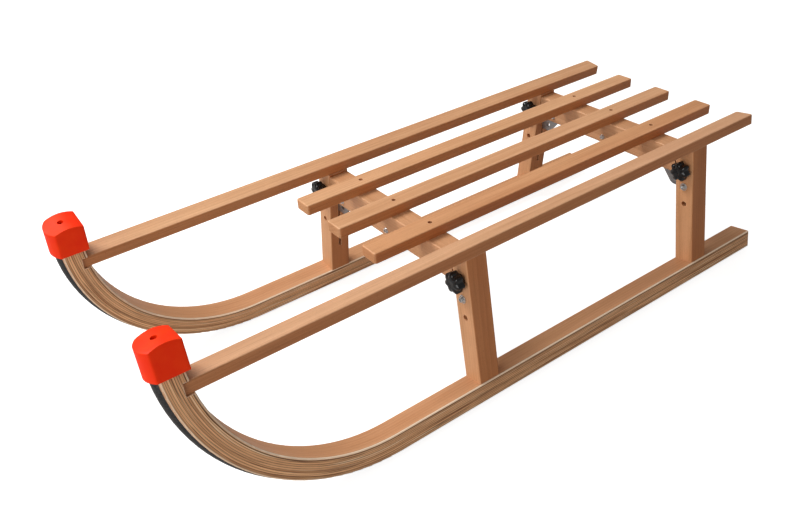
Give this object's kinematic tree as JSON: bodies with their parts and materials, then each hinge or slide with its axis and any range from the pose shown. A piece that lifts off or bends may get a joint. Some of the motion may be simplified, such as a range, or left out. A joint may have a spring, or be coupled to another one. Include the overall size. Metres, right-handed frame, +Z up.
{
  "type": "folding wooden toboggan",
  "caption": "Wooden sled with curled laminated runners, splayed legs and a slatted seat; its two side frames fold flat under the seat on bolted pivots locked by star knobs.",
  "frame": {"origin": "on the ground under the middle of the whole sled's outline", "axes": "-Y towards the curled tips, +Y towards the rear ends, +X to the rider's left, +Z up"},
  "size_m": [0.4286, 1.0338, 0.3027],
  "materials": {
    "beech": "clear satin lacquer",
    "laminated_beech": "bent laminate, clear satin lacquer",
    "red_plastic": "moulded, fine satin",
    "black_plastic": "moulded, glossy",
    "dark_steel": "dark rolled steel",
    "strip_steel": "zinc plated flat bar",
    "zinc_steel": "bright zinc plate"
  },
  "bodies": {
    "seat": {"front_crossbeam": "beech", "front_pivot_strip": "strip_steel", "rear_crossbeam": "beech", "rear_pivot_strip": "strip_steel", "seat_slat_centre": "beech", "seat_slat_left": "beech", "seat_slat_right": "beech", "seat_slat_screws": "zinc_steel", "strip_bolts": "zinc_steel", "strip_nuts": "zinc_steel", "strip_washers": "zinc_steel"},
    "frame_left": {"cap_screw_left": "dark_steel", "front_leg_left": "beech", "leg_screws_left": "zinc_steel", "pivot_bolts_left": "zinc_steel", "pivot_nuts_left": "zinc_steel", "pivot_washers_left": "zinc_steel", "rear_leg_left": "beech", "runner_left": "laminated_beech", "shoe_screws_left": "zinc_steel", "side_slat_left": "beech", "slat_end_screw_left": "zinc_steel", "steel_shoe_left": "dark_steel", "threaded_inserts_left": "zinc_steel", "tip_cap_left": "red_plastic"},
    "frame_right": {"cap_screw_right": "dark_steel", "front_leg_right": "beech", "leg_screws_right": "zinc_steel", "pivot_bolts_right": "zinc_steel", "pivot_nuts_right": "zinc_steel", "pivot_washers_right": "zinc_steel", "rear_leg_right": "beech", "runner_right": "laminated_beech", "shoe_screws_right": "zinc_steel", "side_slat_right": "beech", "slat_end_screw_right": "zinc_steel", "steel_shoe_right": "dark_steel", "threaded_inserts_right": "zinc_steel", "tip_cap_right": "red_plastic"},
    "front_knob_left": {"front_star_knob_left": "black_plastic", "front_knob_screw_left": "zinc_steel"},
    "rear_knob_left": {"rear_star_knob_left": "black_plastic", "rear_knob_screw_left": "zinc_steel"},
    "front_knob_right": {"front_star_knob_right": "black_plastic", "front_knob_screw_right": "zinc_steel"},
    "rear_knob_right": {"rear_star_knob_right": "black_plastic", "rear_knob_screw_right": "zinc_steel"}
  },
  "joints": [
    {"name": "fold_left", "type": "hinge", "parent": "seat", "child": "frame_left", "pos_m": [0.1735, 0, 0.16582], "axis": [0, 1, 0], "range_deg": [0, 98]},
    {"name": "fold_right", "type": "hinge", "parent": "seat", "child": "frame_right", "pos_m": [-0.1735, 0, 0.16582], "axis": [0, -1, 0], "range_deg": [0, 98]},
    {"name": "front_knob_turn_left", "type": "hinge", "parent": "frame_left", "child": "front_knob_left", "pos_m": [0.16933, -0.0935, 0.19553], "axis": [0, -1, 0], "continuous": true},
    {"name": "rear_knob_turn_left", "type": "hinge", "parent": "frame_left", "child": "rear_knob_left", "pos_m": [0.16933, 0.3655, 0.19553], "axis": [0, -1, 0], "continuous": true},
    {"name": "front_knob_turn_right", "type": "hinge", "parent": "frame_right", "child": "front_knob_right", "pos_m": [-0.16933, -0.0935, 0.19553], "axis": [0, -1, 0], "continuous": true},
    {"name": "rear_knob_turn_right", "type": "hinge", "parent": "frame_right", "child": "rear_knob_right", "pos_m": [-0.16933, 0.3655, 0.19553], "axis": [0, -1, 0], "continuous": true}
  ]
}
